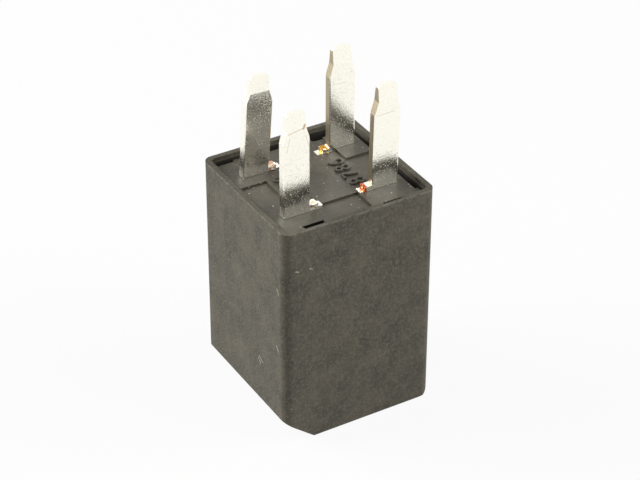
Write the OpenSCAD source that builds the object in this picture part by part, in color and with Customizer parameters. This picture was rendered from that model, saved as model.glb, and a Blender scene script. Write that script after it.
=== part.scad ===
// Plug-in automotive relay with four blade terminals and one normally open contact.
// It stands on the closed end of its cover, blades up. X runs along the blades' width,
// Y through their thickness, and the origin is the centre of the closed end's face.
// Inside, everything hangs from the base plate that closes the open end of the cover.

/* [Cover] */
// Outside width of the cover
cover_w = 16.2; // [15.8:0.1:20]
// Outside depth of the cover
cover_d = 15.6; // [15.2:0.1:20]
// Height of the cover from its closed end to its rim
cover_h = 24; // [23.4:0.1:32]
// Thickness of the cover's side walls
wall = 0.8; // [0.6:0.05:0.95]
// Thickness of the cover's closed end
end_t = 1; // [0.6:0.1:1.5]
// Radius of the cover's four upright edges
edge_r = 0.9; // [0.5:0.1:1.5]
// Width of the keying chamfer at the closed end
key_w = 3.4; // [2:0.1:4]
// Height of the keying chamfer at the closed end
key_h = 2.75; // [1.5:0.05:3.2]
// Radius of the closed end's edge across from the chamfer
foot_r = 1.6; // [0.6:0.1:2.4]
// Radius of the closed end's front and back edges
end_r = 0.4; // [0.2:0.1:0.6]
// Width of the lead-in step inside the rim
rim_step = 0.25; // [0.1:0.05:0.35]

/* [Base plate] */
// Depth of the plate's face below the cover's rim
recess = 0.55; // [0.4:0.05:1.2]
// Thickness of the plate
plate_t = 2; // [1.6:0.1:2.6]
// Height of each moulded step on the plate's face
step_h = 0.2; // [0.1:0.05:0.3]
// Length of the two latch slots
slot_l = 2.2; // [1.4:0.1:2.4]
// Width of the latch slot beside blade 85
slot_w = 0.45; // [0.3:0.05:0.6]
// Gap between the plate's edge and the cover's wall
plate_gap = 0.08; // [0.03:0.01:0.12]

/* [Blade terminals] */
// Width of the blades
blade_w = 2.8; // [2.4:0.1:3]
// Thickness of the blades and of the strip they are cut from
blade_t = 0.8; // [0.6:0.05:0.9]
// Length of the blades above the plate
blade_l = 10.8; // [7:0.1:14]
// Distance between the blades' centre lines, side to side
pitch_x = 9.4; // [9.3:0.1:10]
// Distance of the blades' middle planes from the inside of the cover's front and back walls
edge_y = 3.15; // [2.9:0.05:3.3]
// Width of the blades' narrow tip
tip_w = 2; // [1.4:0.1:2.2]
// Length of the narrow tip
tip_l = 1.7; // [1:0.1:2.4]
// Length of the taper from the full width to the tip
taper_l = 1.3; // [0.6:0.1:2]
// Thickness of the blades at the end of the tip
tip_t = 0.4; // [0.2:0.05:0.5]
// Length of the sheared tie bar beside each blade
stub_l = 1.3; // [1:0.1:1.4]
// Height of the tie bar's torn heel above the plate
stub_h = 0.5; // [0.3:0.05:0.7]
// Lean of blade 30 towards +X, in degrees
lean_30 = 1.8; // [0:0.2:3]
// Lean of blade 30 towards the front, in degrees
nod_30 = 3; // [0:0.2:3]
// Lean of blade 87 towards +X, in degrees
lean_87 = 1.2; // [0:0.2:3]
// How much further blade 86 is pushed out than blades 30 and 87, and blade 85 less
uneven = 0.25; // [0:0.05:0.4]

/* [Coil and magnet] */
// Thickness of the bobbin's flanges
flange_t = 0.8; // [0.6:0.05:1]
// Diameter of the finished winding, as a part of the flanges'
winding_part = 0.91; // [0.8:0.01:0.96]
// Length of the winding
winding_l = 10.2; // [8:0.1:10.6]
// Diameter of the iron core, as a part of the flanges'
core_part = 0.455; // [0.35:0.005:0.5]
// Thickness of the bobbin's tube
tube_t = 0.65; // [0.5:0.05:0.8]
// Diameter of the core's pole face, as a part of the flanges'
pole_part = 0.68; // [0.6:0.01:0.7]
// Thickness of the core's pole head
pole_t = 0.9; // [0.6:0.05:1.2]
// Width of the yoke
yoke_w = 8.4; // [7:0.1:8.6]
// Thickness of the yoke
yoke_t = 1.1; // [0.9:0.05:1.3]
// Thickness of the armature
armature_t = 1.1; // [0.8:0.05:1.3]
// Angle that the armature swings through, in degrees
travel = 3; // [1.5:0.1:3.4]

/* [Contacts] */
// Thickness of the contact spring
spring_t = 0.2; // [0.12:0.02:0.25]
// Length of the spring's leg along the yoke
spring_leg = 7; // [5.4:0.1:9]
// Diameter of the contact heads
contact_d = 2.2; // [1.8:0.1:2.3]
// Height of the moving contact's head
moving_h = 0.5; // [0.3:0.05:0.6]
// Height of the fixed contact's head
fixed_h = 0.45; // [0.3:0.05:0.6]
// Thickness of the rest stop's strip
stop_t = 0.6; // [0.5:0.05:0.7]
// Diameter of the suppression resistor's body
resistor_d = 1.7; // [1.4:0.05:1.7]
// Length of the suppression resistor's body
resistor_l = 5.2; // [3.6:0.1:6]

/* [Hidden] */
$fn = 64;

// Clearance of a metal piece in the plastic or plate that holds it
fit = 0.03;
// Air that stays between the armature and the pole, and between closed contacts
residual = 0.05;
// Gap between pieces of the magnet and the plastic or metal beside them
air = 0.3;
// Overlap of two solids that are joined into one
lap = 0.2;
// Inside radius of the bends in the stamped strips
bend_r = 0.3;

// Cover and plate
cavity_w = cover_w - 2 * wall;
cavity_d = cover_d - 2 * wall;
cavity_r = max(edge_r - wall, 0.3);
plate_top = cover_h - recess;
plate_under = plate_top - plate_t;
plate_w = cavity_w - 2 * plate_gap;
plate_d = cavity_d - 2 * plate_gap;
latch_h = 0.8;
latch_out = 0.2;
latch_z = plate_under + latch_h / 2 + 0.1;
boss_h = 0.8;

// Two posts under the plate, one each side of the coil, bear on the yoke
bearing_d = 1.4;
bearing_x = 2.4;
bearing_y = 2.6;

// Steps and pockets in the plate's face
low_zone_x = 1.95;
pad_x = 0.7;
pad_y = 2.3;
rebate_w = 0.3;
rebate_h = 0.7;
pocket = [2.6, 1, 1];
notch = [1.6, 0.4, 0.5];
slot_edge = 0.42;
notch_w = 0.3;
recess_w = 0.62 * wall;
recess_h = 0.5;
recess_shift = 0.5;

// Blades, each given by its side of the plate: -1 or 1 along X and along Y
blade_x = pitch_x / 2;
blade_y = cavity_d / 2 - edge_y;
blade_in = blade_x - blade_w / 2;
blade_out = blade_x + blade_w / 2;
blade_near = blade_y - blade_t / 2;
blade_far = blade_y + blade_t / 2;
stub_d = 1.1;

// Front edge of the contact strips, the metal left in front of a contact, and the room
// from a contact's middle to the coil
strip_front = 0.25 - cavity_d / 2;
strip_edge = 0.05;
contact_room = 1;

// Magnet, counted down from the base plate
resistor_z = plate_under - boss_h - air / 2 - air;
yoke_top = resistor_z - resistor_d / 2 - air;
yoke_under = yoke_top - yoke_t;
yoke_front = blade_far;
yoke_back = yoke_front + yoke_t;
contact_y = strip_front + strip_edge + contact_d / 2;
flange_back = yoke_front - fit - 0.02;
flange_d = flange_back - contact_y - contact_room;
winding_d = flange_d * winding_part;
core_d = flange_d * core_part;
tube_d = core_d + 2 * tube_t + 2 * fit;
pole_d = flange_d * pole_part;
coil_y = flange_back - flange_d / 2;
bobbin_top = yoke_under - fit;
winding_top = bobbin_top - flange_t;
winding_end = winding_top - winding_l;
bobbin_end = winding_end - flange_t;
pole_z = bobbin_end - fit - pole_t;
stake_d = core_d * 0.7;
yoke_reach = core_d / 2 + 1.6;
yoke_neck = 2 * (blade_in - air);
// Inside radius of the yoke's bend, tight enough for the flange to sit in
yoke_bend = 0.1;

// Coil pins, which stand against the inner faces of the coil terminals
post_w = 1.2;
post_x = blade_out - post_w / 2;
post_end = bobbin_top + 0.2;
pin_d = 0.5;
pin_y = blade_near - fit - pin_d / 2;
pin_top = post_end + 1.1;
pin_end = winding_top - 1.1;
ear_r = 0.55;
lead_d = 0.22;
lead_z = winding_top - 0.5;
resistor_lead_d = 0.5;
resistor_angle = atan2(pin_y, post_x);

// Armature and spring, laid out as they lie when the contact is closed
armature_top = pole_z - residual;
armature_end = armature_top - armature_t;
armature_w = pole_d;
armature_back = yoke_back - 0.35;
armature_front = max(coil_y - pole_d / 2 - 0.6, contact_y + contact_d / 2 + 0.1);
heel_r = 0.8;
spring_end = armature_end - spring_t;
spring_w = armature_w - 0.4;
contact_x = armature_w / 2 - contact_d / 2;
shank_d = contact_d * 0.55;
rivet_d = 0.9;
rivet_rim = 0.4;
rivet_head_h = 0.3;
rivet_inset = 1.4;
rivet_x = spring_w / 2 - 1;
spring_side = contact_x + contact_d / 2 + 0.2;
window_w = 2.4;
window_edge = 1;
rivet_y = coil_y + pole_d / 2;
moving_top = armature_end + moving_h;
leaf_z = moving_top + residual + fixed_h;

// The lowest point of the open spring above the stop, and the stop under it
stop_w = 1.3;
stop_x = blade_out - stop_t;
stop_y = contact_y;
stop_front = stop_y - stop_w / 2;
open_drop = (yoke_back - stop_front) * sin(travel) + (pole_z - spring_end) * cos(travel);
stop_top = pole_z - open_drop - fit;
stop_in = 1.2;

module rounded_plan(w, d, r) {
    square([w, d - 2 * r], center = true);
    square([w - 2 * r, d], center = true);
    for (sx = [-1, 1], sy = [-1, 1])
        translate([sx * (w / 2 - r), sy * (d / 2 - r)]) circle(r);
}

// The waste of a rounded corner whose sharp point is at the origin
module corner_waste(r) {
    difference() {
        translate([-lap, -lap]) square(r + lap);
        translate([r, r]) circle(r);
    }
}

// The section of a strip bent once: up one leg, outer corner at the origin, out the other
module bent_section(up, out, t, r_in = bend_r) {
    r = r_in + t;
    translate([0, r]) square([t, up - r]);
    translate([r, 0]) square([out - r, t]);
    intersection() {
        square(r);
        difference() {
            translate([r, r]) circle(r);
            translate([r, r]) circle(r_in);
        }
    }
}

// A section in Y and Z, drawn along X over the width w
module along_x(w) rotate([90, 0, 90]) linear_extrude(w, center = true) children();

// A section in X and Z, drawn along Y over the depth d
module along_y(d) rotate([90, 0, 0]) linear_extrude(d, center = true) children();

// The cover's front outline, with the keying chamfer at the lower left
module cover_outline() {
    difference() {
        polygon([[-cover_w / 2 + key_w, 0], [cover_w / 2, 0], [cover_w / 2, cover_h],
            [-cover_w / 2, cover_h], [-cover_w / 2, key_h]]);
        translate([cover_w / 2, 0]) mirror([1, 0]) corner_waste(foot_r);
    }
}

// The inside of the same outline: every wall keeps its thickness, the chamfered one too
module cavity_outline() {
    slope = key_h / key_w;
    shift = wall * sqrt(1 + slope * slope);
    left = -cavity_w / 2;
    r = max(foot_r - wall, 0.2);
    difference() {
        polygon([[-cover_w / 2 + key_w + (shift - end_t) / slope, end_t], [cavity_w / 2, end_t],
            [cavity_w / 2, cover_h + 1], [left, cover_h + 1], [left, key_h - wall * slope + shift]]);
        translate([cavity_w / 2, end_t]) mirror([1, 0]) corner_waste(r);
    }
}

// The places of the two latch slots and their latches, on the front and the back edge
module at_latches(y) {
    for (sx = [-1, 1]) translate([sx * (blade_x - 0.6), y, 0]) children();
}

module cover() color("#3b3b39") difference() {
    intersection() {
        linear_extrude(cover_h) rounded_plan(cover_w, cover_d, edge_r);
        along_y(cover_d) cover_outline();
        along_x(cover_w) difference() {
            translate([-cover_d / 2, 0]) square([cover_d, cover_h]);
            for (side = [0, 1]) mirror([side, 0])
                translate([-cover_d / 2, 0]) corner_waste(end_r);
        }
    }
    intersection() {
        linear_extrude(cover_h + 1) rounded_plan(cavity_w, cavity_d, cavity_r);
        along_y(cover_d) cavity_outline();
    }
    translate([0, 0, cover_h - rim_step]) linear_extrude(1)
        rounded_plan(cavity_w + 2 * rim_step, cavity_d + 2 * rim_step, cavity_r + rim_step);
    for (side = [-1, 1]) at_latches(side * cavity_d / 2)
        translate([0, 0, latch_z]) cube([slot_l + 0.3, 2 * latch_out, latch_h + 0.3], center = true);
    // Recesses in the front wall's rim let a tool in at the two latch slots
    for (side = [-1, 1])
        translate([side * (blade_x - 0.6) - recess_shift, -cavity_d / 2, cover_h - recess_h])
            linear_extrude(1) square([slot_l, 2 * recess_w], center = true);
}

// The opening for one terminal: its strip, and the sheared tie bar on its inner side
module terminal_opening(sx, sy) {
    translate([sx * blade_x, sy * blade_y, plate_top - 5])
        linear_extrude(10) square([blade_w + 2 * fit, blade_t + 2 * fit], center = true);
    translate([sx * (blade_in - stub_l / 2), sy * blade_y, plate_top - stub_d - fit])
        linear_extrude(5) square([stub_l + 2 * fit, blade_t + 2 * fit], center = true);
}

module base_plate() color("#454440") difference() {
    union() {
        translate([0, 0, plate_under]) linear_extrude(plate_t)
            rounded_plan(plate_w, plate_d, cavity_r);
        // Raised pad round the back right blade
        intersection() {
            translate([0, 0, plate_top - lap]) linear_extrude(step_h + lap)
                rounded_plan(plate_w, plate_d, cavity_r);
            translate([blade_in + pad_x, blade_y - pad_y, plate_top - 1]) cube([cover_w, cover_d, 2]);
        }
        // Bosses that lengthen the terminals' seats, and two posts that bear on the yoke
        for (sx = [-1, 1], sy = [-1, 1])
            translate([sx * blade_x, sy * blade_y, plate_under - boss_h]) linear_extrude(boss_h + lap)
                rounded_plan(blade_w + 1.2, blade_t + 1.2, 0.3);
        for (s = [-1, 1]) translate([s * bearing_x, -s * bearing_y, yoke_top + fit])
            cylinder(d = bearing_d, h = plate_under - yoke_top);
        for (side = [-1, 1]) at_latches(side * plate_d / 2)
            translate([0, 0, latch_z]) cube([slot_l, 2 * latch_out, latch_h], center = true);
    }
    // Lower zone round the front left blade, which runs on along the front edge
    translate([-cover_w / 2, -cover_d / 2, plate_top - step_h])
        cube([cover_w / 2 - blade_in - 1.1, cover_d / 2 + blade_near - 1.35, 1]);
    translate([-cover_w / 2, -cover_d / 2, plate_top - step_h])
        cube([cover_w / 2 + low_zone_x, cover_d / 2 - blade_y, 1]);
    // Rebate along the right edge, and its short partner at the back left corner
    translate([plate_w / 2 - rebate_w, edge_r - plate_d / 2, plate_top - rebate_h])
        cube([1, plate_d, 2]);
    translate([-plate_w / 2 - 0.1, plate_d / 2 - rebate_w, plate_top - rebate_h]) cube([2, 1, 2]);
    // Round-cornered pocket in the back edge, behind and beside the back right blade
    translate([blade_in + 0.8, plate_d / 2, plate_top - pocket[2]]) linear_extrude(2)
        rounded_plan(pocket[0], 2 * pocket[1], 0.5);
    translate([-0.7, plate_d / 2, plate_top - notch[2]]) linear_extrude(1)
        square([notch[0], 2 * notch[1]], center = true);
    // A slot through the plate frees the front left latch; the right one has an open notch
    translate([0.6 - blade_x, -plate_d / 2 + slot_edge + slot_w / 2, plate_under - 1])
        linear_extrude(plate_t + 3) square([slot_l, slot_w], center = true);
    translate([blade_x - 0.6, -plate_d / 2, plate_top - pocket[2]])
        linear_extrude(2) square([slot_l, 2 * notch_w], center = true);
    for (sx = [-1, 1], sy = [-1, 1]) terminal_opening(sx, sy);
    translate([-stop_x - stop_t / 2, stop_y, plate_under - 1])
        linear_extrude(2.2) square([stop_t + 2 * fit, stop_w + 2 * fit], center = true);
}

// A blade on its foot: tapered outline, coined long edges and a tip thinned on both faces
module blade(below = lap) {
    body_l = blade_l - tip_l - taper_l;
    tip_r = 0.45;
    coin_w = 0.1;
    coin_t = 0.06;
    intersection() {
        along_y(blade_t) {
            polygon([[-blade_w / 2, -below], [blade_w / 2, -below], [blade_w / 2, body_l],
                [tip_w / 2, blade_l - tip_l], [-tip_w / 2, blade_l - tip_l], [-blade_w / 2, body_l]]);
            translate([-tip_w / 2, blade_l - tip_l - lap]) square([tip_w, tip_l + lap - tip_r]);
            translate([tip_r - tip_w / 2, blade_l - tip_l]) square([tip_w - 2 * tip_r, tip_l]);
            for (side = [-1, 1])
                translate([side * (tip_w / 2 - tip_r), blade_l - tip_r]) circle(tip_r);
        }
        along_x(blade_w + 1) polygon([[-blade_t / 2, -1], [blade_t / 2, -1],
            [blade_t / 2, blade_l - tip_l], [tip_t / 2, blade_l], [tip_t / 2, blade_l + 1],
            [-tip_t / 2, blade_l + 1], [-tip_t / 2, blade_l], [-blade_t / 2, blade_l - tip_l]]);
        translate([0, 0, -1]) linear_extrude(blade_l + 2) polygon([
            for (sy = [-1, 1], sx = [-sy, sy], k = sx == sy ? [1, 0] : [0, 1])
                [sx * (blade_w / 2 - k * coin_w), sy * (blade_t / 2 - (1 - k) * coin_t)]]);
    }
}

// Blade, strip through the plate down to the height end_z, and sheared tie bar: a low toe,
// and a heel that was torn off beside the blade
module terminal(sx, sy, end_z, lean = [0, 0], out = 0) {
    heel_l = 0.75;
    toe_h = 0.12;
    translate([sx * blade_x, sy * blade_y, plate_top + out]) rotate([lean[1], lean[0], 0])
        blade(lap + abs(out));
    translate([sx * blade_x, sy * blade_y, end_z]) linear_extrude(plate_top - end_z)
        square([blade_w, blade_t], center = true);
    translate([sx * (blade_in - stub_l / 2 + lap / 2), sy * blade_y, plate_top - stub_d])
        linear_extrude(stub_d + toe_h) square([stub_l + lap, blade_t], center = true);
    translate([sx * (blade_in - heel_l / 2 + lap / 2), sy * blade_y, plate_top - stub_d])
        linear_extrude(stub_d + stub_h) square([heel_l + lap, blade_t], center = true);
}

// A coil terminal ends in a narrow post beside its coil pin
module coil_terminal(sx, sy, out) {
    terminal(sx, sy, plate_under - boss_h, out = out);
    translate([sx * post_x, sy * blade_y, post_end]) linear_extrude(plate_under - post_end)
        square([post_w, blade_t], center = true);
}

// Terminal 30 laps on the yoke and is welded to it
module terminal_30() color("#c9c7b6") terminal(-1, 1, yoke_under - 4, [lean_30, nod_30]);

module terminal_85() color("#c9c7b6") coil_terminal(-1, -1, -uneven);

module terminal_86() color("#c9c7b6") coil_terminal(1, 1, uneven);

// Terminal 87 runs down beside the coil and turns forward under the fixed contact
module terminal_87() color("#c9c7b6") {
    terminal(1, -1, leaf_z + 3, [lean_87, 0]);
    difference() {
        union() {
            translate([blade_x, -blade_near, leaf_z]) mirror([0, 1, 0]) along_x(blade_w)
                bent_section(3 + lap, -blade_near - strip_front, blade_t);
            translate([contact_x - contact_d / 2 - 0.1, strip_front, leaf_z])
                cube([blade_x - contact_x, contact_d / 2 + 0.9, blade_t]);
        }
        translate([contact_x, contact_y, leaf_z - 1]) cylinder(d = shank_d, h = 3);
    }
}

module yoke_rivet_places() {
    for (side = [-1, 1]) translate([side * rivet_x, yoke_back, pole_z + spring_leg - rivet_inset])
        rotate([90, 0, 0]) children();
}

// Broad behind the coil, and narrowed over it to pass between the terminals
module yoke() color("#a8a6a0") difference() {
    translate([0, yoke_back, yoke_top]) mirror([0, 0, 1]) mirror([0, 1, 0]) along_x(yoke_w)
        bent_section(yoke_top - pole_z, yoke_back - coil_y + yoke_reach, yoke_t, yoke_bend);
    for (side = [-1, 1]) translate([side * (yoke_neck + yoke_w) / 2, yoke_front - 10, yoke_top])
        cube([yoke_w, 20, 2 * yoke_w], center = true);
    translate([0, coil_y, yoke_under - 1]) cylinder(d = stake_d + 2 * fit, h = yoke_t + 2);
    yoke_rivet_places() translate([0, 0, -1]) cylinder(d = rivet_d, h = yoke_t + 2);
}

module core() color("#b4b1aa") translate([0, coil_y, 0]) {
    bevel = 0.2;
    translate([0, 0, pole_z]) cylinder(d1 = pole_d - 2 * bevel, d2 = pole_d, h = bevel);
    translate([0, 0, pole_z + bevel]) cylinder(d = pole_d, h = pole_t - bevel);
    translate([0, 0, pole_z + pole_t / 2])
        cylinder(d = core_d, h = yoke_under - fit - pole_z - pole_t / 2);
    translate([0, 0, yoke_under - 1]) cylinder(d = stake_d, h = yoke_t + 1.1);
}

// An ear of the upper flange, which holds a coil pin; s is its side along X and along Y
module ear(s) {
    translate([s * post_x, s * pin_y]) circle(ear_r);
    translate([s * (post_x + core_d / 2) / 2, s * (pin_y - ear_r)])
        square([post_x - core_d / 2, 2 * ear_r], center = true);
}

module bobbin() color("#2f4a3c") difference() {
    union() {
        translate([0, coil_y, 0]) {
            translate([0, 0, bobbin_end]) cylinder(d = flange_d, h = flange_t);
            translate([0, 0, winding_top]) cylinder(d = flange_d, h = flange_t);
            translate([0, 0, bobbin_end]) cylinder(d = tube_d, h = bobbin_top - bobbin_end);
        }
        translate([0, 0, winding_top]) linear_extrude(flange_t) for (s = [-1, 1]) ear(s);
    }
    translate([0, coil_y, bobbin_end - 1]) cylinder(d = core_d + 2 * fit, h = bobbin_top - bobbin_end + 2);
    for (s = [-1, 1]) translate([s * post_x, s * pin_y, winding_top - 1])
        cylinder(d = pin_d + 0.02, h = flange_t + 2);
}

// The winding, and each end of its wire wrapped round a coil pin
module coil_winding() color("#a4582c") {
    wrap_h = 0.7;
    difference() {
        translate([0, coil_y, winding_end + 0.02]) cylinder(d = winding_d, h = winding_l - 0.04);
        translate([0, coil_y, winding_end - 1])
            cylinder(d = tube_d + 0.04, h = winding_l + 2);
    }
    for (s = [-1, 1]) {
        run = [s * post_x, s * pin_y - coil_y];
        reach = norm(run);
        difference() {
            union() {
                translate([s * post_x, s * pin_y, lead_z - wrap_h / 2]) cylinder(d = pin_d + 0.5, h = wrap_h);
                translate([0, coil_y, lead_z]) rotate([0, 0, atan2(run[1], run[0])])
                    translate([winding_d / 2 - 0.5, 0, 0]) rotate([0, 90, 0])
                        cylinder(d = lead_d, h = reach - winding_d / 2 + 0.3);
            }
            translate([s * post_x, s * pin_y, lead_z - 2]) cylinder(d = pin_d + 0.04, h = 4);
        }
    }
}

module coil_pin(s) translate([s * post_x, s * pin_y, pin_end]) {
    cylinder(d = pin_d, h = pin_top - pin_end - 0.2);
    translate([0, 0, pin_top - pin_end - 0.2]) cylinder(d1 = pin_d, d2 = pin_d - 0.2, h = 0.2);
}

module coil_pin_85() color("#c9a24a") coil_pin(-1);

module coil_pin_86() color("#c9a24a") coil_pin(1);

// Turns what is laid out closed to the open rest position, about the yoke's back edge
module opened() {
    translate([0, yoke_back, pole_z]) rotate([travel, 0, 0]) translate([0, -yoke_back, -pole_z]) children();
}

module armature_rivet_places() {
    for (side = [-1, 1]) translate([side * rivet_x, rivet_y, 0]) children();
}

// A flat iron plate: broad at the hinge, rounded underneath where the spring turns up
module armature() color("#9d9b96") opened() difference() {
    intersection() {
        translate([0, 0, armature_end]) linear_extrude(armature_t) {
            translate([-armature_w / 2, armature_front]) square([armature_w, armature_back - armature_front]);
            translate([-yoke_w / 2, yoke_front - 0.6]) square([yoke_w, armature_back - yoke_front + 0.6]);
        }
        translate([0, armature_back, armature_end]) mirror([0, 1, 0]) along_x(yoke_w + 1) difference() {
            translate([0, -1]) square([armature_back - armature_front + 1, armature_t + 2]);
            corner_waste(heel_r);
        }
    }
    armature_rivet_places() translate([0, 0, armature_end - 1]) cylinder(d = rivet_d, h = armature_t + 2);
}

module armature_rivets() color("#8f8d88") opened() armature_rivet_places() {
    translate([0, 0, spring_end - rivet_head_h]) cylinder(d = rivet_d + 2 * rivet_rim, h = rivet_head_h);
    translate([0, 0, spring_end - lap]) cylinder(d = rivet_d, h = armature_top - spring_end + lap);
}

// One leaf: flat under the armature, round the hinge, and up the back of the yoke
module contact_spring() color("#c08a4e") {
    start = yoke_back - heel_r;
    heel_top = pole_z - (yoke_back - start) * sin(travel) - (pole_z - armature_end) * cos(travel);
    outer = heel_r + spring_t;
    opened() difference() {
        translate([-spring_w / 2, strip_front, spring_end])
            cube([spring_w / 2 + spring_side, start + 0.05 - strip_front, spring_t]);
        armature_rivet_places() translate([0, 0, spring_end - 1]) cylinder(d = rivet_d, h = 2);
        translate([contact_x, contact_y, spring_end - 1]) cylinder(d = shank_d, h = 2);
        translate([-window_w / 2, start - window_edge, spring_end - 1]) cube([window_w, 2, 2]);
    }
    difference() {
        translate([0, yoke_back + spring_t, heel_top - spring_t]) mirror([0, 1, 0]) along_x(spring_w)
            bent_section(pole_z + spring_leg - heel_top + spring_t, outer + 0.05, spring_t, heel_r);
        translate([-window_w / 2, start - window_edge, heel_top - 1])
            cube([window_w, 3, 1 + window_w]);
        yoke_rivet_places() translate([0, 0, -1]) cylinder(d = rivet_d, h = 3);
    }
}

module yoke_rivets() color("#8f8d88") yoke_rivet_places() {
    translate([0, 0, -spring_t - rivet_head_h]) cylinder(d = rivet_d + 2 * rivet_rim, h = rivet_head_h);
    translate([0, 0, -spring_t - lap]) cylinder(d = rivet_d, h = yoke_t + spring_t + lap);
}

// A contact rivet standing on the origin: head up, shank and closing head below
module contact_rivet(head_h, strip_t) {
    crown = 0.12;
    translate([0, 0, head_h - crown]) cylinder(d1 = contact_d, d2 = contact_d - 0.5, h = crown);
    cylinder(d = contact_d, h = head_h - crown);
    translate([0, 0, -strip_t]) cylinder(d = shank_d, h = strip_t + lap);
    translate([0, 0, -strip_t - 0.15]) cylinder(d = shank_d + 0.5, h = 0.15);
}

module moving_contact() color("#d8d4c8") opened()
    translate([contact_x, contact_y, armature_end]) contact_rivet(moving_h, spring_t);

module fixed_contact() color("#d8d4c8")
    translate([contact_x, contact_y, leaf_z]) mirror([0, 0, 1]) contact_rivet(fixed_h, blade_t);

// The stop that the open spring rests on, held by the base plate
module rest_stop() color("#b99a55")
    translate([-stop_x - stop_t, stop_y, stop_top - stop_t]) along_y(stop_w)
        bent_section(plate_under + 1.1 - stop_top + stop_t, stop_x + stop_t - stop_in, stop_t);

module suppression_resistor() color("#c2ab84") translate([0, 0, resistor_z])
    rotate([0, 0, resistor_angle]) rotate([0, 90, 0]) {
        lead_l = norm([post_x, pin_y]);
        cylinder(d = resistor_lead_d, h = 2 * lead_l, center = true);
        cylinder(d = resistor_d * 0.88, h = resistor_l, center = true);
        for (side = [-1, 1]) translate([0, 0, side * (resistor_l / 2 - 0.7)])
            cylinder(d = resistor_d, h = 1.1, center = true);
    }

cover();
base_plate();
terminal_30();
terminal_85();
terminal_86();
terminal_87();
yoke();
core();
bobbin();
coil_winding();
coil_pin_85();
coil_pin_86();
armature();
armature_rivets();
contact_spring();
yoke_rivets();
moving_contact();
fixed_contact();
rest_stop();
suppression_resistor();
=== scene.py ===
import math

import bmesh
import bpy
import numpy as np
from mathutils import Matrix, Vector


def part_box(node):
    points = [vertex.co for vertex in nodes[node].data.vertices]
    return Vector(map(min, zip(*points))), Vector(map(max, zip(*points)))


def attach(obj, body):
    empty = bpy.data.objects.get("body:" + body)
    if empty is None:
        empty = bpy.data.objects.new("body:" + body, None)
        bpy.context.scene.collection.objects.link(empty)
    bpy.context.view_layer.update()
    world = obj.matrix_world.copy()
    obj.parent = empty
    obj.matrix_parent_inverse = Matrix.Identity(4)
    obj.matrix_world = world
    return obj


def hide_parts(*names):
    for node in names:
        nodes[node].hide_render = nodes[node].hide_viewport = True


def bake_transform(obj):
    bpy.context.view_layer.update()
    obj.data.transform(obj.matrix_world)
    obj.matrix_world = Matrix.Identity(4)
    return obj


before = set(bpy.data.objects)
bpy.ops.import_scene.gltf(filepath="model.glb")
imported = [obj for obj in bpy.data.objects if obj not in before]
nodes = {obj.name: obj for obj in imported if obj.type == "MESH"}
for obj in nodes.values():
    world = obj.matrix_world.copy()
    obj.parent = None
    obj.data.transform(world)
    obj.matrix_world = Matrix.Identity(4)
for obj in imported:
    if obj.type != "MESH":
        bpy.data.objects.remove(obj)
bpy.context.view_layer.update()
mm = 0.001
relayBody = "relay_body"


def linearColour(hexText):
    # sRGB hex to linear: c / 12.92 in the dark part, ((c + 0.055) / 1.055) ** 2.4 above it
    parts = [int(hexText[i:i + 2], 16) / 255 for i in (1, 3, 5)]
    return [c / 12.92 if c <= 0.04045 else ((c + 0.055) / 1.055) ** 2.4 for c in parts] + [1.0]


def addNode(tree, kind, inputs=None, **settings):
    # one node, its settings, and its inputs given as plain values or as another node's output
    node = tree.nodes.new(kind)
    for name, value in settings.items():
        setattr(node, name, value)
    for key, value in (inputs or {}).items():
        if isinstance(value, bpy.types.NodeSocket):
            tree.links.new(value, node.inputs[key])
        else:
            node.inputs[key].default_value = value
    return node


def startMaterial(name):
    # an empty material, its node tree, and the Object coordinates in millimetres
    material = bpy.data.materials.new(name)
    material.use_nodes = True
    tree = material.node_tree
    tree.nodes.clear()
    place = addNode(tree, "ShaderNodeTexCoord")
    inMm = addNode(tree, "ShaderNodeVectorMath",
                   {0: place.outputs["Object"], "Scale": 1000.0}, operation="SCALE")
    return material, tree, inMm.outputs[0]


def endMaterial(tree, shader):
    addNode(tree, "ShaderNodeOutputMaterial", {"Surface": shader})


def rampOf(tree, value, low, high):
    # 0 below low, 1 above high, straight between them
    ramp = addNode(tree, "ShaderNodeMapRange", {"Value": value, "From Min": low, "From Max": high})
    return ramp.outputs[0]


def mixColours(tree, amount, first, second, kind="MIX"):
    node = addNode(tree, "ShaderNodeMix", {0: amount, 6: first, 7: second},
                   data_type="RGBA", blend_type=kind)
    return node.outputs[2]


def mathOf(tree, operation, first, second=0.0):
    return addNode(tree, "ShaderNodeMath", {0: first, 1: second}, operation=operation).outputs[0]


def vectorOf(tree, operation, inputs):
    return addNode(tree, "ShaderNodeVectorMath", inputs, operation=operation)


def noiseOf(tree, vector, size, detail=3.0, rough=0.5):
    # size is the real size of the lumps, in millimetres
    node = addNode(tree, "ShaderNodeTexNoise",
                   {"Vector": vector, "Scale": 1.0 / size, "Detail": detail, "Roughness": rough})
    return node.outputs[0]


def stretched(tree, vector, scale):
    node = addNode(tree, "ShaderNodeMapping", {"Vector": vector, "Scale": scale})
    return node.outputs[0]


def specksOf(tree, vector, spacing, radius, share):
    # dust: one round speck in each cell of a Voronoi grid, kept in a share of the cells
    cells = addNode(tree, "ShaderNodeTexVoronoi", {"Vector": vector, "Scale": 1.0 / spacing})
    near = rampOf(tree, cells.outputs["Distance"], radius / spacing, 0.4 * radius / spacing)
    chance = addNode(tree, "ShaderNodeSeparateColor", {0: cells.outputs["Color"]})
    kept = mathOf(tree, "LESS_THAN", chance.outputs[0], share)
    size = mathOf(tree, "MULTIPLY", near, kept)
    return mathOf(tree, "MULTIPLY", size, chance.outputs[1])


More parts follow.
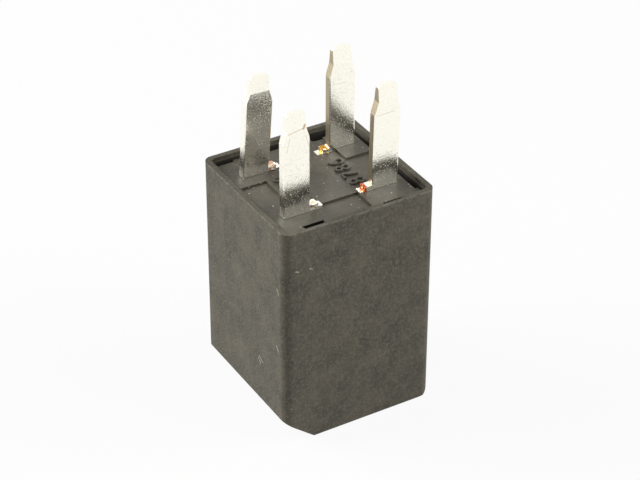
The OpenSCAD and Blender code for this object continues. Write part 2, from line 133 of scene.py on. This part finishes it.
def insideBox(tree, vector, low, high, edge):
    # 1 inside a box given in millimetres, falling to 0 over the distance edge outside it
    middle = [(a + b) / 2 for a, b in zip(low, high)]
    half = [(b - a) / 2 for a, b in zip(low, high)]
    away = vectorOf(tree, "SUBTRACT", {0: vector, 1: middle}).outputs[0]
    away = vectorOf(tree, "ABSOLUTE", {0: away}).outputs[0]
    past = vectorOf(tree, "SUBTRACT", {0: away, 1: half}).outputs[0]
    past = addNode(tree, "ShaderNodeSeparateXYZ", {0: past}).outputs
    most = mathOf(tree, "MAXIMUM", mathOf(tree, "MAXIMUM", past[0], past[1]), past[2])
    return rampOf(tree, most, edge, 0.0)


def markFrom(tree, vector, start, end, width):
    # a straight scratch: 1 on the line from start to end, 0 at its width, all in millimetres
    line = [b - a for a, b in zip(start, end)]
    away = vectorOf(tree, "SUBTRACT", {0: vector, 1: start}).outputs[0]
    along = vectorOf(tree, "DOT_PRODUCT", {0: away, 1: line}).outputs["Value"]
    share = addNode(tree, "ShaderNodeMath", {0: along, 1: 1.0 / sum(v * v for v in line)},
                    operation="MULTIPLY", use_clamp=True)
    foot = vectorOf(tree, "SCALE", {0: line, "Scale": share.outputs[0]}).outputs[0]
    gap = vectorOf(tree, "DISTANCE", {0: away, 1: foot}).outputs["Value"]
    return rampOf(tree, gap, width, 0.3 * width)


coverLow, coverHigh = [[v / mm for v in corner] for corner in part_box("cover")]
plateStep = 0.2
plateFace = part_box("base_plate")[1][2] / mm - plateStep    # the main face, below the raised pad

# Glass-filled nylon, moulded in a spark-eroded tool: matt, a little cloudy, with a fine grain.
# Scratches are given by their two ends in millimetres.
coverLook = {
    "dark": "#3b382f", "light": "#565145", "pale": "#716b5c", "dust": "#a9a597",
    # the rim's pale below is a painted highlight along its sharp outer edges, mixed with wear
    "rimHighlightAndWear": "#77736a", "shade": "#25231e", "roughness": 0.6, "sheen": 0.32,
    "cloudSize": 2.2, "grainSize": 0.22, "drawSize": 0.25, "drawStretch": 0.05,
    "rimEdge": 0.12, "rimDepth": (0.22, 0.05), "innerHalf": (7.32, 7.02), "innerEdge": 0.18,
    "scratchWidth": 0.09,
    "scratches": [((-8.1, -6.38, 17.6), (-8.1, -6.66, 17.0)),
                  ((-8.1, -6.2, 11.05), (-8.1, -6.62, 10.45)),
                  ((-8.1, -2.85, 7.7), (-8.1, -3.55, 7.35)),
                  ((-8.1, -2.7, 7.35), (-8.1, -3.1, 7.0)),
                  ((-6.9, -7.8, 19.9), (-6.6, -7.8, 19.75)),
                  ((-5.4, -7.8, 19.75), (-5.15, -7.8, 19.6)),
                  ((-7.5, -7.8, 4.37), (-7.46, -7.8, 4.33)),
                  ((-8.1, 2.9, 15.4), (-8.1, 2.85, 15.3))],
}


def makeCoverNylon():
    look = coverLook
    material, tree, place = startMaterial("cover_moulded_nylon")
    cloud = noiseOf(tree, place, look["cloudSize"], 8.0, 0.72)
    grain = noiseOf(tree, place, look["grainSize"], 3.0, 0.7)
    drawn = stretched(tree, place, (1.0, 1.0, look["drawStretch"]))
    draw = noiseOf(tree, drawn, look["drawSize"], 3.0, 0.6)
    pale = linearColour(look["pale"])
    base = mixColours(tree, rampOf(tree, cloud, 0.36, 0.66),
                      linearColour(look["dark"]), linearColour(look["light"]))
    base = mixColours(tree, rampOf(tree, draw, 0.55, 1.5), base, pale)
    base = mixColours(tree, rampOf(tree, grain, 0.48, 0.8), base, pale)
    # the rim's outer edges are painted paler in places: a painted highlight along the sharp top
    # edges, where a rounded edge would catch the light, broken up in speckles like rubbed wear
    inset, top = look["rimEdge"], coverHigh[2]
    edge = insideBox(tree, place, (coverLow[0] + inset, coverLow[1] + inset, 0),
                     (coverHigh[0] - inset, coverHigh[1] - inset, 30), 0.1)
    height = addNode(tree, "ShaderNodeSeparateXYZ", {0: place}).outputs[2]
    below, above = look["rimDepth"]
    rimHighlightAndWear = mathOf(tree, "MULTIPLY", rampOf(tree, height, top - below, top - above),
                    mathOf(tree, "SUBTRACT", 1.0, edge))
    rimSpeckle = rampOf(tree, noiseOf(tree, place, 0.5, 4.0, 0.7), 0.42, 0.62)
    rimHighlightAndWear = mathOf(tree, "MULTIPLY", rimHighlightAndWear, rimSpeckle)
    base = mixColours(tree, rimHighlightAndWear, base, linearColour(look["rimHighlightAndWear"]))
    dust = specksOf(tree, place, 0.8, 0.1, 0.14)
    broken = rampOf(tree, noiseOf(tree, place, 0.12, 2.0), 0.35, 0.55)
    for start, end in look["scratches"]:
        line = markFrom(tree, place, start, end, look["scratchWidth"])
        mark = mathOf(tree, "MULTIPLY", line, broken)
        dust = mathOf(tree, "MAXIMUM", dust, mark)
    base = mixColours(tree, dust, base, linearColour(look["dust"]))
    # inside the rim the plastic lies in the gap's shade
    halfX, halfY = look["innerHalf"]
    inside = insideBox(tree, place, (-halfX, -halfY, -1), (halfX, halfY, plateFace + 0.15),
                       look["innerEdge"])
    base = mixColours(tree, inside, base, linearColour(look["shade"]))
    relief = mathOf(tree, "ADD", mathOf(tree, "MULTIPLY", grain, 0.7),
                    mathOf(tree, "MULTIPLY", draw, 0.3))
    bump = addNode(tree, "ShaderNodeBump",
                   {"Height": relief, "Strength": 0.6, "Distance": 0.05 * mm})
    shader = addNode(tree, "ShaderNodeBsdfPrincipled",
                     {"Base Color": base, "Roughness": look["roughness"], "IOR": 1.53,
                      "Specular IOR Level": look["sheen"], "Normal": bump.outputs[0]})
    endMaterial(tree, shader.outputs[0])
    return material


# The same nylon from a smoother tool: the base plate has a slight sheen and more dust in it,
# and its slots and gaps are painted dark as shade
plateLook = {
    "dark": "#38342a", "light": "#4c473b", "pale": "#706a5b", "dust": "#d6d1c0",
    # the gap colour is the painted shade of the slots and gaps; pocketLight is how much of it the
    # back pocket is spared
    "gap": "#040404", "roughness": 0.52, "cloudSize": 1.6, "grainSize": 0.15,
    "gapShadeDepth": (0.215, 0.27), "pocket": ((2.6, 5.8, 0), (5.6, 7, 30)), "pocketLight": 0.6,
    "chipSpots": [(-2.9, -3.2), (-4.8, -5.2), (3.2, -5.0), (1.4, 3.2)], "chipReach": (1.5, 0.4),
}


def makePlateNylon():
    look = plateLook
    material, tree, place = startMaterial("plate_moulded_nylon")
    cloud = noiseOf(tree, place, look["cloudSize"], 6.0, 0.65)
    grain = noiseOf(tree, place, look["grainSize"], 3.0, 0.65)
    base = mixColours(tree, rampOf(tree, cloud, 0.36, 0.66),
                      linearColour(look["dark"]), linearColour(look["light"]))
    base = mixColours(tree, rampOf(tree, grain, 0.5, 0.9), base, linearColour(look["pale"]))
    dust = specksOf(tree, place, 0.42, 0.09, 0.26)
    # chips of tin and dust lie thickest round the front feet of the blades
    far, close = look["chipReach"]
    for spot in look["chipSpots"]:
        away = vectorOf(tree, "DISTANCE", {0: place, 1: spot + (plateFace,)}).outputs["Value"]
        chips = specksOf(tree, place, 0.28, 0.07, 0.3)
        chips = mathOf(tree, "MULTIPLY", chips, rampOf(tree, away, far, close))
        dust = mathOf(tree, "MAXIMUM", dust, chips)
    base = mixColours(tree, dust, base, linearColour(look["dust"]))
    # painted shade: slots and gaps are painted black just below the lower steps, the back pocket
    # less so, as if it caught more light
    height = addNode(tree, "ShaderNodeSeparateXYZ", {0: place}).outputs[2]
    pocket = insideBox(tree, place, *look["pocket"], 0.05)
    shallow, black = look["gapShadeDepth"]
    lit = mathOf(tree, "MULTIPLY", pocket, look["pocketLight"])
    paintedGapShade = mathOf(tree, "MULTIPLY", rampOf(tree, height, plateFace - shallow, plateFace - black),
                  mathOf(tree, "SUBTRACT", 1.0, lit))
    base = mixColours(tree, paintedGapShade, base, linearColour(look["gap"]))
    bump = addNode(tree, "ShaderNodeBump",
                   {"Height": grain, "Strength": 0.5, "Distance": 0.03 * mm})
    shader = addNode(tree, "ShaderNodeBsdfPrincipled",
                     {"Base Color": base, "Roughness": look["roughness"], "IOR": 1.53,
                      "Normal": bump.outputs[0]})
    endMaterial(tree, shader.outputs[0])
    return material


# Copper alloy strip, tin-plated before it was stamped: bright warm tin that mirrors what is
# round it through fine pitting, and browner where the punch cut it
tinLook = {
    "tin": "#fffcf0", "dull": "#d8d2bd", "cut": "#a89c84", "stain": "#b98a55",
    "roughness": 0.07, "metallic": 0.97, "pitSize": 0.2, "sparkSize": 0.11,
    "rolledSize": 0.15, "scuffSize": 0.7, "patchSize": 0.6, "markShare": 0.75,
}

# stains and scratches on the blades' faces, each a line in millimetres: start, end, width
tinMarks = {
    "stain": [((-5.55, -4.2, 32.05), (-3.95, -4.2, 32.35), 0.09),
              ((-4.0, -4.2, 32.25), (-3.85, -4.2, 32.6), 0.16),
              ((3.35, -4.25, 31.3), (3.3, -4.0, 31.9), 0.14)],
    "dull": [((3.7, -4.25, 31.25), (5.6, -4.25, 31.3), 0.06),
             ((5.6, 3.45, 31.6), (5.75, 3.45, 31.65), 0.07),
             ((-5.4, -4.25, 31.6), (-5.75, -4.25, 30.2), 0.05),
             ((-3.75, -4.25, 31.4), (-3.4, -4.25, 30.2), 0.05)],
}


def makeTinnedStrip(name, cutShare):
    # cutShare: how much of the punched edges is bare of tin
    look = tinLook
    material, tree, place = startMaterial(name)
    coord = addNode(tree, "ShaderNodeTexCoord")
    facing = addNode(tree, "ShaderNodeSeparateXYZ", {0: coord.outputs["Normal"]})
    sideways = mathOf(tree, "ABSOLUTE", facing.outputs["X"])
    patch = noiseOf(tree, stretched(tree, place, (1.0, 1.0, 0.3)), look["patchSize"], 4.0, 0.6)
    cutEdge = mathOf(tree, "MULTIPLY", rampOf(tree, sideways, 0.8, 0.95),
                     rampOf(tree, patch, 0.75 - cutShare, 0.85 - cutShare))
    pits = noiseOf(tree, place, look["pitSize"], 4.0, 0.7)
    rolled = noiseOf(tree, stretched(tree, place, (1.0, 1.0, 0.06)), look["rolledSize"], 3.0)
    across = stretched(tree, place, (0.25, 0.25, 3.0))
    scuffs = rampOf(tree, noiseOf(tree, across, look["scuffSize"], 4.0, 0.6), 0.64, 0.72)
    sparks = rampOf(tree, noiseOf(tree, place, look["sparkSize"], 2.0, 0.6), 0.62, 0.72)
    dull = linearColour(look["dull"])
    base = mixColours(tree, rampOf(tree, pits, 0.58, 0.85), linearColour(look["tin"]), dull)
    base = mixColours(tree, mathOf(tree, "MULTIPLY", scuffs, 0.5), base, dull)
    base = mixColours(tree, cutEdge, base, linearColour(look["cut"]))
    for tone, marks in tinMarks.items():
        for start, end, width in marks:
            mark = markFrom(tree, place, start, end, width)
            mark = mathOf(tree, "MULTIPLY", mark, look["markShare"])
            base = mixColours(tree, mark, base, linearColour(look[tone]))
    rough = addNode(tree, "ShaderNodeMapRange",
                    {"Value": sparks, "To Min": look["roughness"],
                     "To Max": look["roughness"] + 0.35})
    rough = mathOf(tree, "MAXIMUM", rough.outputs[0], mathOf(tree, "MULTIPLY", cutEdge, 0.4))
    relief = mathOf(tree, "ADD", mathOf(tree, "MULTIPLY", pits, 0.4),
                    mathOf(tree, "MULTIPLY", rolled, 0.2))
    relief = mathOf(tree, "ADD", relief, mathOf(tree, "MULTIPLY", sparks, 0.25))
    bump = addNode(tree, "ShaderNodeBump",
                   {"Height": relief, "Strength": 1.0, "Distance": 0.03 * mm})
    shader = addNode(tree, "ShaderNodeBsdfPrincipled",
                     {"Base Color": base, "Metallic": look["metallic"], "Roughness": rough,
                      "Normal": bump.outputs[0]})
    endMaterial(tree, shader.outputs[0])
    return material


# Torn copper alloy with smears of tin: coarse bright facets of a warm metal
def makeTornMetal(name, light, dark, tinShare):
    material, tree, place = startMaterial(name)
    crumbs = addNode(tree, "ShaderNodeTexVoronoi", {"Vector": place, "Scale": 1.0 / 0.22})
    tone = addNode(tree, "ShaderNodeSeparateColor", {0: crumbs.outputs["Color"]})
    base = mixColours(tree, tone.outputs[0], linearColour(light), linearColour(dark))
    tinned = rampOf(tree, noiseOf(tree, place, 0.3, 2.0), 0.72 - tinShare, 0.76 - tinShare)
    base = mixColours(tree, tinned, base, linearColour("#fff9ec"))
    bump = addNode(tree, "ShaderNodeBump",
                   {"Height": tone.outputs[1], "Strength": 0.7, "Distance": 0.05 * mm})
    shader = addNode(tree, "ShaderNodeBsdfPrincipled",
                     {"Base Color": base, "Metallic": 0.85, "Roughness": 0.36,
                      "Normal": bump.outputs[0]})
    endMaterial(tree, shader.outputs[0])
    return material


grainDepth = 0.01    # millimetres, of the fine grain on the inner metals and plastics


def makeMetal(name, light, dark, roughness, grainSize, stretch=(1.0, 1.0, 1.0)):
    # a rolled, plated or turned metal: two close tones and a fine grain along one direction
    material, tree, place = startMaterial(name)
    grain = noiseOf(tree, stretched(tree, place, stretch), grainSize, 3.0, 0.6)
    base = mixColours(tree, rampOf(tree, grain, 0.35, 0.7), linearColour(light), linearColour(dark))
    bump = addNode(tree, "ShaderNodeBump",
                   {"Height": grain, "Strength": 0.3, "Distance": grainDepth * mm})
    shader = addNode(tree, "ShaderNodeBsdfPrincipled",
                     {"Base Color": base, "Metallic": 1.0, "Roughness": roughness,
                      "Normal": bump.outputs[0]})
    endMaterial(tree, shader.outputs[0])
    return material


def makePlastic(name, light, dark, roughness, grainSize):
    # a smooth moulded or lacquered piece: two close tones and a faint grain
    material, tree, place = startMaterial(name)
    grain = noiseOf(tree, place, grainSize, 3.0, 0.6)
    base = mixColours(tree, rampOf(tree, grain, 0.35, 0.7), linearColour(light), linearColour(dark))
    bump = addNode(tree, "ShaderNodeBump",
                   {"Height": grain, "Strength": 0.2, "Distance": grainDepth * mm})
    shader = addNode(tree, "ShaderNodeBsdfPrincipled",
                     {"Base Color": base, "Roughness": roughness, "IOR": 1.5,
                      "Normal": bump.outputs[0]})
    endMaterial(tree, shader.outputs[0])
    return material


# Enamelled copper wire, wound in close turns of 0.12 mm, drawn at 0.2 mm so that the turns show
wireLook = {"light": "#b4622f", "dark": "#7f3d1c", "turn": 0.2}


def makeMagnetWire():
    material, tree, place = startMaterial("enamelled_copper_wire")
    wave = addNode(tree, "ShaderNodeTexWave",
                   {"Vector": place, "Scale": 1.0 / wireLook["turn"] / 2.0},
                   bands_direction="Z", wave_profile="SIN")
    tone = noiseOf(tree, stretched(tree, place, (0.3, 0.3, 1.0)), 0.4, 3.0)
    base = mixColours(tree, rampOf(tree, tone, 0.3, 0.75),
                      linearColour(wireLook["light"]), linearColour(wireLook["dark"]))
    bump = addNode(tree, "ShaderNodeBump",
                   {"Height": wave.outputs[1], "Strength": 0.6, "Distance": 0.05 * mm})
    shader = addNode(tree, "ShaderNodeBsdfPrincipled",
                     {"Base Color": base, "Metallic": 0.75, "Roughness": 0.32,
                      "Normal": bump.outputs[0], "Coat Weight": 0.4, "Coat Roughness": 0.15})
    endMaterial(tree, shader.outputs[0])
    return material


coverNylon = makeCoverNylon()
plateNylon = makePlateNylon()
tinnedStrip = makeTinnedStrip("tin_plated_copper_alloy", 0.1)
tinnedStripCut = makeTinnedStrip("tin_plated_copper_alloy_cut", 0.6)
zincPlatedIron = makeMetal("zinc_plated_soft_iron", "#bdbbb4", "#8f8d86", 0.34, 0.3)
turnedIron = makeMetal("turned_soft_iron", "#c2bfb8", "#98958e", 0.3, 0.15, (0.2, 0.2, 1.0))
bobbinNylon = makePlastic("green_moulded_nylon", "#2f4f40", "#24402f", 0.45, 1.5)
magnetWire = makeMagnetWire()
brassPin = makeMetal("drawn_brass", "#caa654", "#a37f39", 0.3, 0.2, (1.0, 1.0, 0.1))
springBronze = makeMetal("rolled_spring_bronze", "#c9965a", "#a3733f", 0.28, 0.2, (1.0, 0.1, 1.0))
contactSilver = makeMetal("silver_alloy", "#dedbd0", "#b9b6ab", 0.25, 0.25)
stopBrass = makeMetal("rolled_brass_strip", "#c3a55c", "#997c40", 0.33, 0.2, (1.0, 0.1, 1.0))
resistorLacquer = makePlastic("lacquered_ceramic", "#b7a27c", "#a58e68", 0.35, 0.6)

nodeMaterials = {
    "cover": coverNylon, "base_plate": plateNylon,
    "terminal_30": tinnedStrip, "terminal_85": tinnedStrip,
    "terminal_86": tinnedStripCut, "terminal_87": tinnedStripCut,
    "yoke": zincPlatedIron, "armature": zincPlatedIron, "core": turnedIron,
    "bobbin": bobbinNylon, "coil_winding": magnetWire,
    "coil_pin_85": brassPin, "coil_pin_86": brassPin,
    "armature_rivets": zincPlatedIron, "yoke_rivets": zincPlatedIron,
    "contact_spring": springBronze, "moving_contact": contactSilver,
    "fixed_contact": contactSilver, "rest_stop": stopBrass,
    "suppression_resistor": resistorLacquer,
}
for nodeName, material in nodeMaterials.items():
    mesh = nodes[nodeName].data
    mesh.materials.clear()
    mesh.materials.append(material)
print("materials on", len(nodeMaterials), "nodes")


def meshFrom(name, points, faces, material):
    # points in millimetres, as an array with one row a point
    mesh = bpy.data.meshes.new(name)
    mesh.from_pydata((np.asarray(points) * mm).tolist(), [], faces)
    mesh.validate()
    mesh.materials.append(material)
    piece = bpy.data.objects.new(name, mesh)
    bpy.context.scene.collection.objects.link(piece)
    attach(piece, relayBody)
    return piece


def gridFaces(rows, columns, closedRows=False, closedColumns=False):
    # the quads of a grid whose points are numbered row by row
    r = np.arange(rows if closedRows else rows - 1)[:, None]
    c = np.arange(columns if closedColumns else columns - 1)[None, :]
    r2, c2 = (r + 1) % rows, (c + 1) % columns
    quads = np.stack([r * columns + c, r * columns + c2, r2 * columns + c2, r2 * columns + c], -1)
    return quads.reshape(-1, 4).tolist()


# The four terminal numbers of the common standard for relays, moulded raised on the plate as
# rounded ribs. They read along +Y with their tops towards -X. Each place is the number's
# lower left corner: X, then Y.
numbers = {
    "height": 1.65, "width": 1.0, "pitch": 1.22, "ribWidth": 0.23, "ribHeight": 0.22, "sunk": 0.05,
    "places": {"86": (3.66, -0.2), "87": (3.72, -2.78), "30": (-2.25, -0.1), "85": (-2.25, -2.9)},
}


def arc(middleX, middleY, radiusX, radiusY, first, last, steps):
    # points (x + rx cos t, y + ry sin t) for t from first to last, in degrees
    t = np.radians(np.linspace(first, last, steps))
    return np.stack([middleX + radiusX * np.cos(t), middleY + radiusY * np.sin(t)], -1)


def digitStrokes(digit):
    # each stroke is (its points in a box one wide and one high, whether it closes on itself)
    ring = {
        "0": [(arc(0.5, 0.5, 0.40, 0.46, 0, 345, 24), True)],
        "3": [(np.concatenate([arc(0.47, 0.74, 0.36, 0.22, 150, -80, 12),
                               arc(0.47, 0.28, 0.40, 0.24, 80, -150, 12)]), False)],
        "5": [(np.concatenate([[[0.86, 0.96], [0.22, 0.96], [0.17, 0.56]],
                               arc(0.46, 0.33, 0.40, 0.29, 125, -150, 14)]), False)],
        "6": [(arc(0.5, 0.30, 0.38, 0.26, 0, 342, 20), True),
              (arc(0.80, 0.30, 0.68, 0.64, 178, 100, 9), False)],
        "7": [(np.array([[0.12, 0.95], [0.86, 0.95], [0.62, 0.55], [0.42, 0.04]]), False)],
        "8": [(arc(0.5, 0.27, 0.38, 0.23, 0, 342, 20), True),
              (arc(0.5, 0.73, 0.31, 0.20, 0, 342, 20), True)],
    }
    return ring[digit]


def moulded(text, right, start):
    # a rounded section carried along each stroke; its sides follow the stroke's normal
    section = np.array([[-0.5, -1.0], [-0.5, 0.55], [-0.3, 1.0],
                        [0.3, 1.0], [0.5, 0.55], [0.5, -1.0]])
    across = section[:, 0] * numbers["ribWidth"]
    lift = np.where(section[:, 1] < 0, -numbers["sunk"], section[:, 1] * numbers["ribHeight"])
    points, faces = [], []
    for place, digit in enumerate(text):
        for stroke, closes in digitStrokes(digit):
            path = stroke * (numbers["width"], numbers["height"]) + (place * numbers["pitch"], 0)
            ahead, behind = np.roll(path, -1, 0), np.roll(path, 1, 0)
            if not closes:
                ahead = np.vstack([path[1:], 2 * path[-1] - path[-2]])
                behind = np.vstack([2 * path[0] - path[1], path[:-1]])
            run = ahead - behind
            run /= np.linalg.norm(run, axis=1)[:, None]
            side = np.stack([-run[:, 1], run[:, 0]], -1)
            flat = path[:, None, :] + side[:, None, :] * across[None, :, None]
            raised = np.broadcast_to(lift[None, :, None], flat.shape[:2] + (1,))
            block = np.concatenate([flat, raised], -1)
            first = sum(len(p) for p in points)
            quads = gridFaces(len(path), len(section), closes, True)
            faces += [[first + i for i in quad] for quad in quads]
            if not closes:
                last = first + len(path) * len(section) - 1
                faces.append([first + i for i in range(len(section))])
                faces.append([last - i for i in range(len(section))])
            points.append(block.reshape(-1, 3))
    local = np.concatenate(points)
    turned = np.stack([right - local[:, 1], start + local[:, 0], plateFace + local[:, 2]], -1)
    return meshFrom("terminal_number_" + text, turned, faces, plateNylon)


for text, (right, start) in numbers["places"].items():
    moulded(text, right, start)
print("terminal numbers")


# The heels of the sheared tie bars: torn lumps, each given by its middle and half sizes
tornHeels = {
    "30": {"middle": (-2.95, 3.84, 23.7), "half": (0.42, 0.45, 0.32), "metal": "pink", "seed": 3},
    "85": {"middle": (-2.90, -3.86, 23.68), "half": (0.48, 0.45, 0.32), "metal": "pale", "seed": 5},
    "86": {"middle": (2.86, 3.84, 23.7), "half": (0.36, 0.43, 0.33), "metal": "gold", "seed": 7},
    "87": {"middle": (2.62, -3.86, 23.7), "half": (0.16, 0.43, 0.34), "metal": "orange", "seed": 9},
}
tornMetals = {
    "pink": makeTornMetal("torn_copper_pink", "#f0c0a0", "#c98a63", 0.2),
    "pale": makeTornMetal("torn_copper_pale", "#f5d9a6", "#c99a5c", 0.3),
    "gold": makeTornMetal("torn_copper_gold", "#cf9a3a", "#9c6c20", 0.1),
    "orange": makeTornMetal("torn_copper_orange", "#d97a3f", "#b0521f", 0.1),
}


tornShape = {"rows": 9, "columns": 14, "pole": 0.3, "power": 0.45, "crumple": 0.045}


def tornHeel(number, heel):
    # a rounded box: sign(c) |c| ** power of a sphere's coordinates, then each point is pushed
    # in or out by a few hundredths of a millimetre
    rows, columns, pole = tornShape["rows"], tornShape["columns"], tornShape["pole"]
    down = np.linspace(pole, math.pi - pole, rows)[:, None]
    turn = np.linspace(0, 2 * math.pi, columns, endpoint=False)[None, :]
    sphere = np.stack([np.sin(down) * np.cos(turn), np.sin(down) * np.sin(turn),
                       np.cos(down) * np.ones_like(turn)], -1).reshape(-1, 3)
    sphere = np.vstack([sphere, [[0, 0, 1], [0, 0, -1]]])
    draws = np.random.default_rng(heel["seed"])
    box = np.sign(sphere) * np.abs(sphere) ** tornShape["power"] * np.array(heel["half"])
    box = box + draws.normal(0, tornShape["crumple"], box.shape)
    faces = [face[::-1] for face in gridFaces(rows, columns, False, True)]
    top, last = rows * columns, (rows - 1) * columns
    faces += [[i, (i + 1) % columns, top] for i in range(columns)]
    faces += [[last + (i + 1) % columns, last + i, top + 1] for i in range(columns)]
    points = box + np.array(heel["middle"])
    meshFrom("torn_heel_" + number, points, faces, tornMetals[heel["metal"]])


for number, heel in tornHeels.items():
    tornHeel(number, heel)
print("torn heels")


def bendingSpring():
    mesh = nodes["contact_spring"].data.copy()
    mesh.name = "contact_spring_leaf"
    work = bmesh.new()
    work.from_mesh(mesh)
    bmesh.ops.remove_doubles(work, verts=work.verts, dist=1e-7)
    work.to_mesh(mesh)
    work.free()
    piece = bpy.data.objects.new("contact_spring_leaf", mesh)
    bpy.context.scene.collection.objects.link(piece)
    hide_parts("contact_spring")
    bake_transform(piece)


bendingSpring()
print("contact spring")


# Studio: a white floor that keeps part of the relay's shadow, a white world, and a soft lamp
# on each side. Places and sizes are in millimetres.
studio = {
    "world": 0.2, "floorShade": 0.08, "paper": "#dcdcda", "floorHalf": 3000.0,
    "floorDrop": 0.02, "aim": (0, 0, 15),
    "lamps": {"soft_lamp_left": {"place": (-320, 255, 250), "size": 300, "power": 2.8},
              "soft_lamp_right": {"place": (315, -235, 240), "size": 300, "power": 1.7}},
}


def seenWhite(tree):
    # 1 for rays of the camera, of reflections and through glass, 0 for rays that light
    path = addNode(tree, "ShaderNodeLightPath").outputs
    seen = mathOf(tree, "MAXIMUM", path["Is Camera Ray"], path["Is Glossy Ray"])
    return mathOf(tree, "MAXIMUM", seen, path["Is Transmission Ray"])


def makeFloorPaper():
    material, tree, place = startMaterial("white_floor_paper")
    paper = addNode(tree, "ShaderNodeBsdfDiffuse", {"Color": linearColour(studio["paper"])})
    glow = addNode(tree, "ShaderNodeEmission", {"Color": (1, 1, 1, 1), "Strength": 1.0})
    share = mathOf(tree, "MULTIPLY", seenWhite(tree), 1.0 - studio["floorShade"])
    shader = addNode(tree, "ShaderNodeMixShader",
                     {0: share, 1: paper.outputs[0], 2: glow.outputs[0]})
    endMaterial(tree, shader.outputs[0])
    return material


def makeStage():
    half = studio["floorHalf"] * mm
    corners = [(-half, -half, 0), (half, -half, 0), (half, half, 0), (-half, half, 0)]
    mesh = bpy.data.meshes.new("studio_floor")
    mesh.from_pydata(corners, [], [(0, 1, 2, 3)])
    mesh.materials.append(makeFloorPaper())
    floor = bpy.data.objects.new("studio_floor", mesh)
    floor.location.z = -studio["floorDrop"] * mm
    bpy.context.scene.collection.objects.link(floor)
    world = bpy.data.worlds.new("studio_world")
    world.use_nodes = True
    tree = world.node_tree
    tree.nodes.clear()
    strength = addNode(tree, "ShaderNodeMapRange",
                       {"Value": seenWhite(tree), "To Min": studio["world"], "To Max": 1.0})
    light = addNode(tree, "ShaderNodeBackground",
                    {"Color": (1, 1, 1, 1), "Strength": strength.outputs[0]})
    addNode(tree, "ShaderNodeOutputWorld", {"Surface": light.outputs[0]})
    bpy.context.scene.world = world


def addLamp(name, place, aim, size, power):
    lamp = bpy.data.lights.new(name, "AREA")
    lamp.size = size * mm
    lamp.energy = power
    holder = bpy.data.objects.new(name, lamp)
    holder.location = Vector(place) * mm
    holder.rotation_euler = (Vector(aim) * mm - holder.location).to_track_quat("-Z", "Y").to_euler()
    bpy.context.scene.collection.objects.link(holder)


makeStage()
for lampName, lamp in studio["lamps"].items():
    addLamp(lampName, lamp["place"], studio["aim"], lamp["size"], lamp["power"])

# Camera: azimuth and elevation of its axis, its distance and its aim beside the relay's middle
cameraView = {"azimuth": -30.57, "elevation": 33.74, "roll": 0.13, "distance": 212.53,
              "lens": 124.14, "middle": 12.03, "right": 0.215, "up": 3.760}


def makeCamera():
    a = math.radians(cameraView["azimuth"])
    e = math.radians(cameraView["elevation"])
    back = Vector((math.sin(a) * math.cos(e), -math.cos(a) * math.cos(e), math.sin(e)))
    right = Vector((math.cos(a), math.sin(a), 0))
    up = back.cross(right)
    r = math.radians(cameraView["roll"])
    rolledRight = right * math.cos(r) + up * math.sin(r)
    rolledUp = back.cross(rolledRight)
    aim = Vector((0, 0, cameraView["middle"]))
    aim += rolledRight * cameraView["right"] + rolledUp * cameraView["up"]
    lens = bpy.data.cameras.new("view_camera")
    lens.lens = cameraView["lens"]
    lens.sensor_width = 36
    camera = bpy.data.objects.new("view_camera", lens)
    turn = Matrix((rolledRight, rolledUp, back)).transposed().to_4x4()
    turn.translation = (aim + back * cameraView["distance"]) * mm
    camera.matrix_world = turn
    lens.clip_start, lens.clip_end = 0.01, 10
    bpy.context.scene.collection.objects.link(camera)
    bpy.context.scene.camera = camera


makeCamera()
bpy.context.scene.view_settings.view_transform = "Standard"
print("studio and camera")
